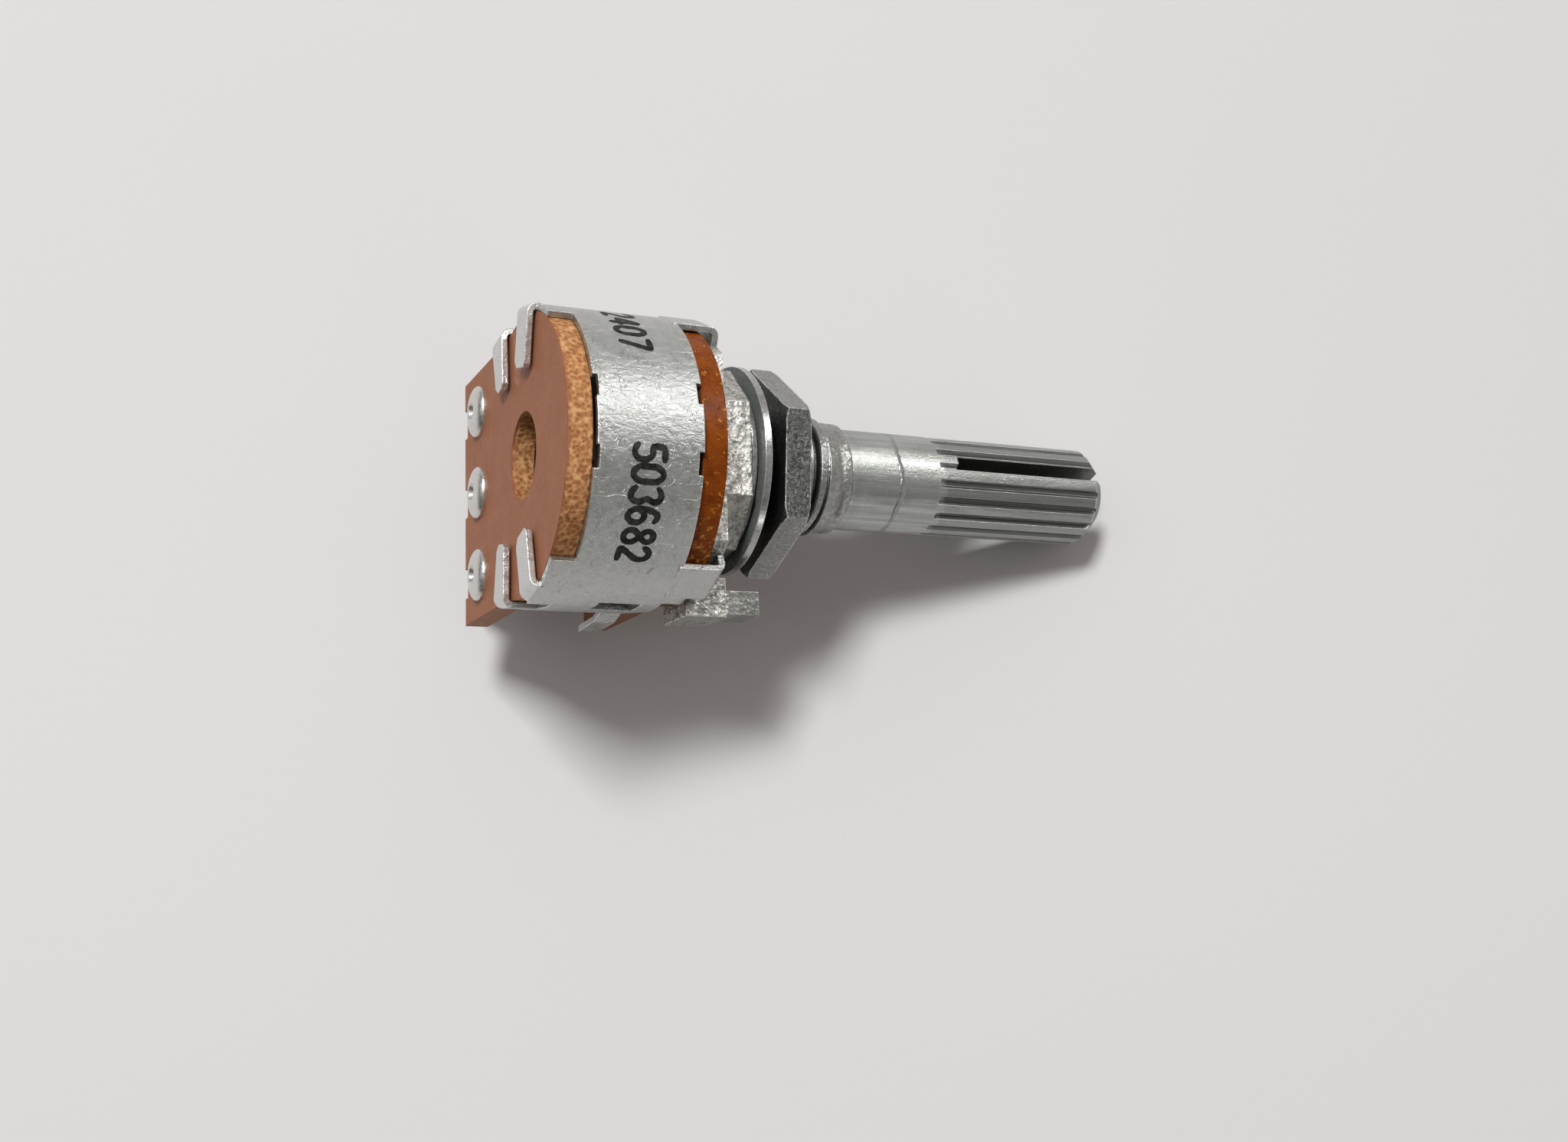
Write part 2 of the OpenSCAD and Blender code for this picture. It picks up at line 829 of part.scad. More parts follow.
// One sprung arm: it leaves the base, rises to the wafer and ends in a brush
module wiper_arm(r, w) {
    tip_x = front_inner_x - film_t - brush_clear;
    root_y = -shaft_r;
    heel = 0.6;
    toe = 0.25;
    slant = 0.1;
    translate([0, 0, r - w / 2])
        linear_extrude(w)
            polygon([[rotor_x, root_y - heel], [rotor_x + wiper_t, root_y - heel], [rotor_x + wiper_t, root_y],
                     [tip_x, -toe], [tip_x, toe], [tip_x - toe, 3 * toe], [tip_x - toe - wiper_t, 3 * toe - slant],
                     [tip_x - wiper_t, toe - slant], [tip_x - wiper_t, slant - toe], [rotor_x, root_y + wiper_t]]);
}

// Stamped wiper: a ring staked to the rotor, a side strip and two arms
module wiper() {
    ring_clear = 0.1;
    ring_out = collector_r - collector_w / 2;
    strip_y = -shaft_r - 0.6;
    strip_w = 0.9;
    strip_low = -1;
    inner_w = 0.6;
    outer_w = 0.7;
    difference() {
        union() {
            across(rotor_x, rotor_x + wiper_t)
                difference() {
                    union() {
                        circle(r = ring_out);
                        stake_pads();
                        translate([strip_y, strip_low])
                            square([strip_w, track_r + outer_w / 2 - strip_low]);
                    }
                    circle(r = shaft_r + ring_clear);
                }
            wiper_arm(collector_r, inner_w);
            wiper_arm(track_r, outer_w);
        }
        stake_places()
            bar(rotor_x - past, rotor_x + past, stake_r + seat_clear);
    }
}

module stake_pads() {
    pad_margin = 0.45;
    for (side = [-1, 1])
        translate([side * stake_y, stake_z])
            circle(r = stake_r + pad_margin);
}

module front_wiper() {
    color([0.8, 0.6, 0.3])
        wiper();
}

module rear_wiper() {
    color([0.8, 0.6, 0.3])
        for_rear()
            wiper();
}

front_housing();
hex_nut();
flat_washer();
can();
front_wafer();
rear_wafer();
front_rivets();
rear_rivets();
front_terminal_1();
front_terminal_2();
front_terminal_3();
rear_terminal_1();
rear_terminal_2();
rear_terminal_3();
front_resistive_track();
front_collector_ring();
rear_resistive_track();
rear_collector_ring();
shaft();
front_rotor();
rear_rotor();
front_wiper();
rear_wiper();
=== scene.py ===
import math
import random

import bmesh
import bpy
from mathutils import Matrix, Vector


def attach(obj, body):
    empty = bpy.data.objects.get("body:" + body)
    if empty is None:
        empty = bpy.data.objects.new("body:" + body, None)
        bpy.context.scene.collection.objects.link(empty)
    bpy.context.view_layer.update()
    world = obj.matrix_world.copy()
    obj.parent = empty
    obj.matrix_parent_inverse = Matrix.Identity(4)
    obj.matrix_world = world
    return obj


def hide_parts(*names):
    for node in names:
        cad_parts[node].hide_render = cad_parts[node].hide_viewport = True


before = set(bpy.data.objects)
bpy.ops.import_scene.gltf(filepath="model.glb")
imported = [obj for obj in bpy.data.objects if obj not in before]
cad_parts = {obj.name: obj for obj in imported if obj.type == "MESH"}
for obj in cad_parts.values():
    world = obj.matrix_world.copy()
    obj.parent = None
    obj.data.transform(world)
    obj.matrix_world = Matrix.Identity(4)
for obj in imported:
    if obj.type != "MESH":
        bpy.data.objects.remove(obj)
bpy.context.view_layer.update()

# Lengths are in millimetres, and MM turns them into Blender's metres
MM = 0.001

# Sizes repeated from the part's source
CAN_R = 8.35
REAR_X = -11.78
FRONT_INNER_X = -4.28
PINS_LOW_Z = -16
WAFER_STRAIGHT_Z = -4.7
SEAT_X = -0.35
LUG_Y = -6.6
THREAD_R = 3.5
THREAD_END_X = 5.6
SHAFT_R = 3
SPLINE_X = 13.3
TIP_X = 24.1

# Marks on the shaft that only its material has
SCORED_RING_X = 10.75
WORN_LINE_X = 7.5

# The thread that is cut into the bushing here
THREAD_FIRST_X = 0.1
THREAD_LAST_X = 5.5
THREAD_PITCH = 0.75
THREAD_ROOT_R = 3.08
THREAD_WIDTH = 0.58
THREAD_PARTS_PER_TURN = 48
CUTTER_RISE = 0.1
CUTTER_MIN_DEPTH = 0.03
CUTTER_FLAT = 0.05
CUTTER_SPREAD = 1.1

# Printed digits: a thin closed body just above the can
INK_LIFT = 0.006
INK_DEPTH = 0.02
GLYPH_WIDTH = 0.78
STROKE_STEP = 0.12
STROKE_END = 0.55
STROKE_REACH = 0.3
STROKE_SPREAD = (0.88, 1.08)
JITTER = 0.03
SMOOTHING_ROUNDS = 2

# The way the nut's nearest flat faces in the photograph
FLAT_WAY = (0.0, -0.12, 0.99)

# The camera, as it was fitted to the photograph
IMAGE_WIDTH_PX = 2048
FOCAL_PX = 2240.48
SENSOR_WIDTH = 36
CAMERA_TURN = (-0.1915, -0.4368, 0.0049)
CAMERA_SHIFT = (-3.6729, -5.7964, 99.353)

# The floor, and the point that the lamps look at
FLOOR_HALF = 900
FLOOR_DROP = 0.02
LIT_POINT = (6, 0, -2)

# The world's light: the way to its brightest side, and how strength follows that way
SKY_WAY = (0.2, 0.55, 0.81)
SKY_RANGE = {"From Min": -0.35, "From Max": 0.95, "To Min": 0.05, "To Max": 0.4}
SKY_COLOUR = (1, 0.99, 0.955, 1)
SKY_COLOUR_DIFFUSE = (1, 0.875, 0.855, 1)

# Sockets of Blender's Mix node that carry its factor and colours
MIX_FACTOR, MIX_A, MIX_B, MIX_RESULT = 0, 6, 7, 2


def cad(name):
    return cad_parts[name]


def add_object(name, data):
    obj = bpy.data.objects.new(name, data)
    bpy.context.scene.collection.objects.link(obj)
    return obj


# Shader helpers
class Shader:
    """A material with a Principled shader and short calls for the nodes before it.

    A mask is a value from 0 to 1 over the surface.
    """

    def __init__(self, name):
        self.mat = bpy.data.materials.new(name)
        self.mat.use_nodes = True
        self.tree = self.mat.node_tree
        self.tree.nodes.clear()
        self.bsdf = self.add("ShaderNodeBsdfPrincipled")
        out = self.add("ShaderNodeOutputMaterial")
        self.link(self.bsdf.outputs["BSDF"], out.inputs["Surface"])
        coords = self.add("ShaderNodeTexCoord")
        scale = self.add("ShaderNodeVectorMath")
        scale.operation = "SCALE"
        scale.inputs["Scale"].default_value = 1 / MM
        self.link(coords.outputs["Object"], scale.inputs[0])
        self.mm = scale.outputs["Vector"]

    def add(self, kind):
        return self.tree.nodes.new(kind)

    def link(self, a, b):
        self.tree.links.new(a, b)

    def put(self, value, socket):
        if isinstance(value, bpy.types.NodeSocket):
            self.link(value, socket)
        elif socket.type == "RGBA" and len(value) == 3:
            socket.default_value = (*value, 1)
        else:
            socket.default_value = value

    def stretched(self, scale, turned=(0, 0, 0)):
        """The place in millimetres, turned and scaled along each axis."""
        node = self.add("ShaderNodeMapping")
        node.inputs["Rotation"].default_value = turned
        node.inputs["Scale"].default_value = scale
        self.link(self.mm, node.inputs["Vector"])
        return node.outputs["Vector"]

    def noise(self, scale, detail=3, rough=0.5, vector=None, distortion=0):
        node = self.add("ShaderNodeTexNoise")
        self.link(vector or self.mm, node.inputs["Vector"])
        node.inputs["Scale"].default_value = scale
        node.inputs["Detail"].default_value = detail
        node.inputs["Roughness"].default_value = rough
        node.inputs["Distortion"].default_value = distortion
        return node.outputs["Fac"]

    def cells(self, scale):
        node = self.add("ShaderNodeTexVoronoi")
        self.link(self.mm, node.inputs["Vector"])
        node.inputs["Scale"].default_value = scale
        return node.outputs["Distance"]

    def math(self, operation, a, b=0.0, c=0.0):
        node = self.add("ShaderNodeMath")
        node.operation = operation
        for value, socket in zip((a, b, c), node.inputs):
            self.put(value, socket)
        return node.outputs[0]

    def times(self, *values):
        product = values[0]
        for value in values[1:]:
            product = self.math("MULTIPLY", product, value)
        return product

    def weighted(self, *pairs):
        """The sum of the values, each times its weight."""
        total = None
        for value, weight in pairs:
            term = value if weight == 1 else self.math("MULTIPLY", value, weight)
            total = term if total is None else self.math("ADD", total, term)
        return total

    def inverse(self, mask):
        return self.math("SUBTRACT", 1.0, mask)

    def larger(self, a, b):
        return self.math("MAXIMUM", a, b)

    def away(self, value, middle):
        """How far a value is from a middle, on either side."""
        return self.math("ABSOLUTE", self.math("SUBTRACT", value, middle))

    def span(self, value, low, high, to_low=0.0, to_high=1.0):
        """A smooth step from to_low, where the value is low, to to_high."""
        node = self.add("ShaderNodeMapRange")
        node.interpolation_type = "SMOOTHSTEP"
        self.put(value, node.inputs["Value"])
        node.inputs["From Min"].default_value = low
        node.inputs["From Max"].default_value = high
        node.inputs["To Min"].default_value = to_low
        node.inputs["To Max"].default_value = to_high
        return node.outputs["Result"]

    def mix(self, factor, a, b):
        node = self.add("ShaderNodeMix")
        node.data_type = "RGBA"
        self.put(factor, node.inputs[MIX_FACTOR])
        self.put(a, node.inputs[MIX_A])
        self.put(b, node.inputs[MIX_B])
        return node.outputs[MIX_RESULT]

    def blend(self, colour, other, *masks):
        """The colour, and the other one where every mask is high."""
        return self.mix(self.times(*masks), colour, other)

    def ramp(self, factor, stops):
        node = self.add("ShaderNodeValToRGB")
        self.put(factor, node.inputs["Fac"])
        ramp = node.color_ramp
        while len(ramp.elements) < len(stops):
            ramp.elements.new(0.5)
        for element, (place, colour) in zip(ramp.elements, stops):
            element.position = place
            element.color = (*colour, 1)
        return node.outputs["Color"]

    def axis(self, name, vector=None):
        """One coordinate of a vector, or else of the place in millimetres."""
        node = self.add("ShaderNodeSeparateXYZ")
        self.link(vector or self.mm, node.inputs[0])
        return node.outputs[name]

    def radius(self):
        """The distance from the shaft's axis."""
        y, z = self.axis("Y"), self.axis("Z")
        return self.math("SQRT", self.math("ADD", self.times(y, y), self.times(z, z)))

    def facing(self, name):
        """How far a surface faces along an axis of the frame, from 0 to 1."""
        geometry = self.add("ShaderNodeNewGeometry")
        return self.math("ABSOLUTE", self.axis(name, geometry.outputs["True Normal"]))

    def dot(self, a, b):
        node = self.add("ShaderNodeVectorMath")
        node.operation = "DOT_PRODUCT"
        self.link(a, node.inputs[0])
        self.put(b, node.inputs[1])
        return node.outputs["Value"]

    def towards(self, way):
        """How far a surface faces one way in the frame, from -1 to 1."""
        geometry = self.add("ShaderNodeNewGeometry")
        return self.dot(geometry.outputs["True Normal"], way)

    def edges(self, width):
        """A mask of sharp edges, and the rounded normal there."""
        bevel = self.add("ShaderNodeBevel")
        bevel.samples = 6
        bevel.inputs["Radius"].default_value = width * MM
        geometry = self.add("ShaderNodeNewGeometry")
        likeness = self.dot(bevel.outputs["Normal"], geometry.outputs["Normal"])
        return self.span(likeness, 0.995, 0.85), bevel.outputs["Normal"]

    def bump(self, height, depth, normal=None):
        node = self.add("ShaderNodeBump")
        node.inputs["Distance"].default_value = depth * MM
        self.put(height, node.inputs["Height"])
        if normal is not None:
            self.link(normal, node.inputs["Normal"])
        return node.outputs["Normal"]

    def finish(self, colour, rough, normal, metallic=0.0, specular=None):
        self.put(colour, self.bsdf.inputs["Base Color"])
        self.put(rough, self.bsdf.inputs["Roughness"])
        self.put(metallic, self.bsdf.inputs["Metallic"])
        self.link(normal, self.bsdf.inputs["Normal"])
        if specular is not None:
            self.bsdf.inputs["Specular IOR Level"].default_value = specular
        return self.mat


def scratches(s, scale, stretch, turned, part, width):
    """Thin lines where a stretched noise crosses its middle.

    A second noise of the scale part keeps them in some places only.
    """
    vector = s.stretched(stretch, turned)
    line = s.span(s.away(s.noise(scale, 2, 0.4, vector, 0.2), 0.5), width, 0.0)
    return s.times(line, s.span(s.noise(part, 2, 0.5, vector), 0.54, 0.62))


def tinplate():
    """The can's dull tinned sheet, with fine scratches, dark specks and a blotchy shine."""
    s = Shader("tinplate")
    blotch = s.noise(1.3, 5, 0.65, distortion=0.6)
    fine = s.noise(6, 5, 0.7)
    grain = s.noise(14, 3, 0.6)
    worn = s.span(s.noise(3.4, 3, 0.55, s.stretched((0.6, 1.0, 1.0)), 0.5), 0.35, 0.65)
    pale = s.larger(scratches(s, 1.1, (0.5, 2.2, 1.4), (0.2, 0.5, 0.3), 0.9, 0.014),
                    scratches(s, 1.4, (1.6, 0.7, 2.2), (0.9, 0.2, 1.1), 1.3, 0.012))
    dark = s.larger(scratches(s, 0.9, (1.0, 0.5, 0.5), (0.1, 0.7, 0.2), 0.8, 0.009),
                    scratches(s, 1.8, (0.8, 2.0, 1.0), (1.2, 0.4, 0.6), 1.7, 0.01))
    speck = s.times(s.span(s.cells(2.4), 0.15, 0.07), s.span(s.noise(1.1, 2), 0.5, 0.58))
    smudge = s.span(s.noise(2.6, 4, 0.7), 0.6, 0.7)
    lit_rear_tabs = s.span(s.axis("X"), REAR_X - 0.05, REAR_X - 0.2)
    edge_wear_and_highlight, normal = s.edges(0.1)
    rubbed = s.span(s.noise(3, 3), 0.35, 0.6, 0.3, 1.0)

    colour = s.ramp(s.weighted((blotch, 0.6), (fine, 0.4)),
                    [(0.3, (0.4, 0.405, 0.39)), (0.5, (0.48, 0.485, 0.47)),
                     (0.7, (0.57, 0.575, 0.56))])
    colour = s.blend(colour, (0.26, 0.26, 0.25), smudge, 0.22)
    colour = s.blend(colour, (0.9, 0.9, 0.89), pale, 0.55)
    colour = s.blend(colour, (0.2, 0.2, 0.2), dark, 0.6)
    colour = s.blend(colour, (0.14, 0.135, 0.125), speck, 0.7)
    # Bright edges: partly real wear, partly a painted edge highlight
    colour = s.blend(colour, (0.93, 0.93, 0.92), edge_wear_and_highlight, rubbed)
    # Painted highlight: the rear tabs are painted lighter, as where they catch the light
    colour = s.blend(colour, (0.8, 0.795, 0.78), lit_rear_tabs, 0.7)
    rough = s.weighted((s.span(blotch, 0.36, 0.64, 0.27, 0.4), 1),
                       (s.math("SUBTRACT", grain, 0.5), 0.2))
    height = s.weighted((fine, 0.6), (blotch, 0.4), (worn, 0.3), (grain, 0.14),
                        (s.larger(pale, dark), -0.3))
    return s.finish(colour, rough, s.bump(height, 0.04, normal), 0.92)


def cast_metal():
    """Cast alloy of the front housing, rough with bright high spots and painted glints, painted
    shade on some faces, and calmer in front.
    """
    s = Shader("cast_metal")
    grain = s.noise(2.3, 5, 0.66)
    lumps = s.noise(1.4, 3, 0.5)
    pits = s.cells(4.5)
    cloud = s.noise(0.5, 3)
    glint = s.span(s.noise(4.5, 4, 0.6), 0.58, 0.64)
    x = s.axis("X")
    bushing = s.span(x, SEAT_X - 0.01, SEAT_X + 0.05)
    raw = s.inverse(bushing)
    worn_end = s.span(x, THREAD_END_X - 1.0, THREAD_END_X - 0.4)
    thread = s.times(s.span(x, 0.2, 0.4), s.span(x, THREAD_END_X, THREAD_END_X - 0.3, 0.5, 0.65))
    shaded_groove = s.times(s.span(s.radius(), THREAD_R - 0.06, THREAD_R - 0.2),
                     s.span(x, 0.2, 0.3), s.span(x, THREAD_LAST_X, THREAD_LAST_X - 0.2))
    shaded_lug = s.span(s.axis("Y"), LUG_Y, LUG_Y - 0.4, 0.0, 0.45)
    shaded_low_side = s.span(s.towards((0.0, -1.0, 0.0)), 0.2, 0.7)
    shaded_high_side = s.span(s.towards((0.0, 1.0, 0.0)), 0.35, 0.7)
    edge_wear_and_highlight, normal = s.edges(0.09)
    rubbed = s.span(s.noise(3, 3), 0.3, 0.6, 0.4, 0.95)

    colour = s.ramp(grain, [(0.34, (0.17, 0.165, 0.15)), (0.46, (0.5, 0.49, 0.455)),
                            (0.56, (0.92, 0.9, 0.84))])
    colour = s.blend(colour, (0.46, 0.46, 0.44), cloud, 0.3)
    colour = s.blend(colour, (0.4, 0.4, 0.385), bushing, 0.6)
    colour = s.blend(colour, (0.2, 0.205, 0.195), thread)
    # Painted shade: the lug under the body is painted darker
    colour = s.blend(colour, (0.14, 0.138, 0.125), shaded_lug)
    # Painted shade in the roots of the thread
    colour = s.blend(colour, (0.04, 0.04, 0.038), shaded_groove, 0.85)
    # Painted highlight: glints painted onto the high spots
    colour = s.blend(colour, (0.95, 0.94, 0.88), glint, raw, 0.8)
    # Painted shade on the faces that face -Y and +Y
    colour = s.blend(colour, (0.2, 0.195, 0.18), shaded_low_side, raw, 0.5)
    colour = s.blend(colour, (0.27, 0.265, 0.25), shaded_high_side, raw, 0.4)
    colour = s.blend(colour, (0.07, 0.07, 0.065), s.span(pits, 0.2, 0.08), raw, 0.75)
    # Bright edges: partly real wear, partly a painted edge highlight
    colour = s.blend(colour, (0.93, 0.92, 0.89), edge_wear_and_highlight, rubbed)
    rough = s.weighted((s.span(grain, 0.34, 0.66, 0.5, 0.26), 1), (bushing, -0.04))
    calm = s.times(s.larger(bushing, shaded_lug), s.math("MULTIPLY_ADD", worn_end, -0.12, 0.75))
    height = s.times(s.weighted((grain, 1), (pits, 0.4), (lumps, 0.6)), s.inverse(calm))
    return s.finish(colour, rough, s.bump(height, 0.17, normal), 0.85)


def nut_metal():
    """Dull plated nut, rough on its nearest flat, with painted shade there and on its back,
    painted light on its other flats, and bright edges.
    """
    s = Shader("nut_metal")
    grain = s.noise(5, 6, 0.75)
    cloud = s.span(s.noise(0.7, 4, 0.6), 0.48, 0.66, 0.0, 0.35)
    bright = s.times(s.span(s.noise(9, 4, 0.7), 0.55, 0.64), s.span(s.noise(1.2, 3), 0.4, 0.6))
    pressed = s.span(s.away(s.noise(1.6, 2, distortion=1.5), 0.5), 0.03, 0.0)
    shaded_near_flat = s.span(s.towards(FLAT_WAY), 0.75, 0.95)
    lit_other_flats = s.times(s.inverse(shaded_near_flat), s.span(s.facing("X"), 0.5, 0.3))
    shaded_back = s.span(s.towards((-1.0, 0.0, 0.0)), 0.5, 0.9)
    edge_wear_and_highlight, normal = s.edges(0.13)
    rubbed = s.span(s.noise(2.5, 2), 0.38, 0.5, 0.15, 1.0)

    colour = s.ramp(grain, [(0.34, (0.04, 0.042, 0.038)), (0.5, (0.16, 0.165, 0.155)),
                            (0.66, (0.4, 0.4, 0.39))])
    colour = s.blend(colour, (0.3, 0.3, 0.29), cloud)
    colour = s.blend(colour, (0.8, 0.8, 0.78), bright, 0.8)
    # Painted shade on the nearest flat
    colour = s.blend(colour, (0.07, 0.073, 0.068), shaded_near_flat, 0.45)
    # Painted light on the other flats
    colour = s.blend(colour, (0.5, 0.495, 0.48), lit_other_flats, 0.32)
    # Painted shade on the back face, which faces away from the light
    colour = s.blend(colour, (0.02, 0.021, 0.02), shaded_back, 0.75)
    # Bright edges: partly real wear, partly a painted edge highlight
    colour = s.blend(colour, (0.92, 0.92, 0.9), edge_wear_and_highlight, rubbed)
    rough = s.span(grain, 0.3, 0.7, 0.38, 0.24)
    height = s.weighted((grain, 0.8), (s.times(pressed, shaded_near_flat), -0.9))
    return s.finish(colour, rough, s.bump(height, 0.1, normal), 0.92)


def washer_metal():
    """Smooth faces painted dark as shade, and a brighter rim with a partly painted highlight on
    its edges.
    """
    s = Shader("washer_metal")
    face = s.span(s.facing("X"), 0.75, 0.9)
    fine = s.noise(5, 5, 0.6)
    edge_wear_and_highlight, normal = s.edges(0.08)
    dark = s.ramp(fine, [(0.3, (0.12, 0.13, 0.128)), (0.7, (0.145, 0.157, 0.152))])
    bright = s.ramp(fine, [(0.3, (0.34, 0.34, 0.335)), (0.7, (0.5, 0.5, 0.49))])
    # Painted shade on the faces, a lighter rim, and bright edges that are partly a painted
    # highlight
    colour = s.blend(s.mix(face, bright, dark), (0.85, 0.85, 0.84), edge_wear_and_highlight, 0.8)
    rough = s.span(fine, 0.3, 0.7, 0.2, 0.32)
    metallic = s.math("MULTIPLY_ADD", face, -0.92, 0.92)
    return s.finish(colour, rough, s.bump(fine, 0.006, normal), metallic, specular=0.1)


def shaft_metal():
    """Satin light alloy, with turning lines round it and a duller splined end."""
    s = Shader("shaft_metal")
    rings = s.noise(3.0, 4, 0.6, s.stretched((5, 0.12, 0.12)))
    along = s.noise(1.2, 4, 0.6, s.stretched((0.15, 3, 3)))
    cloud = s.noise(0.5, 4, 0.6)
    grain = s.noise(9, 3, 0.6)
    dents = s.noise(2.4, 4, 0.6)
    x = s.axis("X")
    splined = s.span(x, SPLINE_X, SPLINE_X + 0.3)
    shaded_groove = s.times(s.span(s.radius(), SHAFT_R - 0.1, SHAFT_R - 0.4), splined,
                     s.span(s.facing("X"), 0.8, 0.6))
    wander = s.weighted((x, 1), (s.noise(0.5, 3, 0.6), 0.9))
    ring = s.span(s.away(wander, SCORED_RING_X), 0.16, 0.04)
    step = s.span(wander, SCORED_RING_X - 0.05, SCORED_RING_X + 0.1)
    line = s.span(s.away(x, WORN_LINE_X), 0.3, 0.1)
    speck = s.times(s.span(s.cells(2.6), 0.13, 0.05), s.span(s.noise(1.3, 2), 0.5, 0.58))
    edge_wear_and_highlight, normal = s.edges(0.05)

    colour = s.ramp(s.weighted((rings, 0.2), (along, 0.8)),
                    [(0.32, (0.3, 0.308, 0.292)), (0.5, (0.4, 0.408, 0.388)),
                     (0.68, (0.52, 0.525, 0.505))])
    colour = s.blend(colour, (0.3, 0.29, 0.28), s.weighted((ring, 0.5), (line, 0.25)))
    colour = s.blend(colour, (0.2, 0.19, 0.18), speck, 0.5)
    colour = s.blend(colour, (0.17, 0.175, 0.165), splined, 0.42)
    # Painted shade in the spline grooves
    colour = s.blend(colour, (0.05, 0.052, 0.048), shaded_groove, 0.7)
    # Bright edges: partly real wear, partly a painted edge highlight
    colour = s.blend(colour, (0.84, 0.83, 0.81), edge_wear_and_highlight, 0.6)
    rough = s.weighted((s.span(cloud, 0.3, 0.7, 0.34, 0.42), 1), (splined, -0.04))
    height = s.weighted((rings, 0.15), (along, 0.5), (ring, 1.6), (step, -1.5), (grain, 0.5),
                        (dents, 0.9))
    return s.finish(colour, rough, s.bump(height, 0.03, normal), 0.9)


def wafer(name, face_colours, rim_colours, rim_rough, torn_x, smooth_x, whole_part, relief):
    """Resin laminate with a flat printed face and a punched rim.

    The rim is torn in front of torn_x, but for its whole part, and smooth behind smooth_x.
    """
    s = Shader(name)
    face = s.span(s.facing("X"), 0.8, 0.95)
    weave = s.noise(4, 4, 0.6, s.stretched((1, 1.6, 0.8)))
    flat = s.ramp(s.weighted((s.noise(0.7, 4, 0.6), 0.7), (weave, 0.3)), face_colours)
    crumbs = s.weighted((s.noise(3.8, 6, 0.68), 0.62),
                        (s.noise(1.7, 3, 0.6, distortion=0.8), 0.38))
    torn = s.weighted((crumbs, 0.75), (s.cells(3.8), 0.4))
    low = s.span(s.axis("Y"), -3.0, -7.0)
    chips = s.math("MULTIPLY_ADD", low, 0.08, s.noise(3.0, 5, 0.7))
    chipped = s.span(chips, whole_part, whole_part + 0.05)
    shoulder = s.weighted((s.axis("X"), 1), (s.noise(1.4, 3), 0.6))
    sawn = s.span(s.axis("Z"), WAFER_STRAIGHT_Z, WAFER_STRAIGHT_Z - 0.5)
    smooth = s.larger(s.span(shoulder, torn_x, smooth_x), sawn)
    normal = s.edges(0.1)[1]

    deep, brown = rim_colours[0][1], rim_colours[1][1]
    glossy = s.ramp(s.noise(0.9, 4, 0.6), [(0.3, deep), (0.7, brown)])
    rim = s.mix(chipped, glossy, s.ramp(torn, rim_colours))
    rim = s.blend(rim, deep, low, 0.3)
    rim = s.mix(smooth, rim, face_colours[0][1])
    rough = s.weighted((face, 0.5 - rim_rough),
                       (s.span(crumbs, 0.3, 0.7, rim_rough - 0.08, rim_rough + 0.08), 1))
    ridges = s.times(torn, chipped, s.inverse(face), s.inverse(smooth))
    height = s.weighted((ridges, 1), (weave, 0.12))
    return s.finish(s.mix(face, rim, flat), rough, s.bump(height, relief, normal), specular=0.1)


def plain_metal(name, low, high, rough):
    s = Shader(name)
    fine = s.noise(5, 4, 0.6)
    edge_wear_and_highlight, normal = s.edges(0.06)
    # Bright edges: partly real wear, partly a painted edge highlight
    colour = s.blend(s.ramp(fine, [(0.3, low), (0.7, high)]), (0.88, 0.88, 0.86), edge_wear_and_highlight, 0.5)
    roughness = s.span(fine, 0.3, 0.7, rough - 0.06, rough + 0.08)
    return s.finish(colour, roughness, s.bump(fine, 0.012, normal), 0.9)


def moulded(name, low, high, rough):
    s = Shader(name)
    fine = s.noise(7, 4, 0.6)
    normal = s.edges(0.08)[1]
    roughness = s.span(fine, 0.3, 0.7, rough - 0.05, rough + 0.05)
    return s.finish(s.ramp(fine, [(0.3, low), (0.7, high)]), roughness, s.bump(fine, 0.02, normal))


def ink(name):
    s = Shader(name)
    worn = s.noise(2.5, 5, 0.7)
    colour = s.ramp(worn, [(0.4, (0.006, 0.006, 0.006)), (0.72, (0.05, 0.05, 0.048))])
    return s.finish(colour, s.span(worn, 0.3, 0.7, 0.5, 0.7), s.bump(worn, 0.01), specular=0.15)


def paper(upwards):
    """The floor's matt paper, a little paler towards the bottom of the picture."""
    s = Shader("paper")
    shade = s.span(s.dot(s.mm, upwards), -30, 30)
    colour = s.mix(shade, (0.712, 0.717, 0.715), (0.688, 0.693, 0.691))
    return s.finish(colour, 0.9, s.bump(s.noise(0.8, 3), 0.01), specular=0.1)


# Materials on the solids
def dress(name, material):
    obj = cad(name)
    if not obj.material_slots:
        obj.data.materials.append(material)
    for slot in obj.material_slots:
        slot.material = material


rear_resin = wafer(
    "rear_resin",
    face_colours=[(0.3, (0.31, 0.118, 0.057)), (0.7, (0.375, 0.155, 0.08))],
    rim_colours=[(0.33, (0.18, 0.063, 0.02)), (0.44, (0.29, 0.118, 0.043)),
                 (0.57, (0.4, 0.183, 0.072)), (0.74, (0.6, 0.35, 0.16))],
    rim_rough=0.5, torn_x=REAR_X + 0.48, smooth_x=REAR_X + 0.32, whole_part=0.3, relief=0.14)
front_resin = wafer(
    "front_resin",
    face_colours=[(0.3, (0.2, 0.075, 0.02)), (0.7, (0.3, 0.12, 0.035))],
    rim_colours=[(0.25, (0.11, 0.02, 0.001)), (0.5, (0.235, 0.055, 0.003)),
                 (0.66, (0.45, 0.16, 0.025)), (0.8, (0.6, 0.32, 0.1))],
    rim_rough=0.34, torn_x=FRONT_INNER_X + 0.1, smooth_x=FRONT_INNER_X, whole_part=0.56,
    relief=0.06)
tin = plain_metal("tin_plating", (0.6, 0.59, 0.56), (0.78, 0.77, 0.74), 0.3)
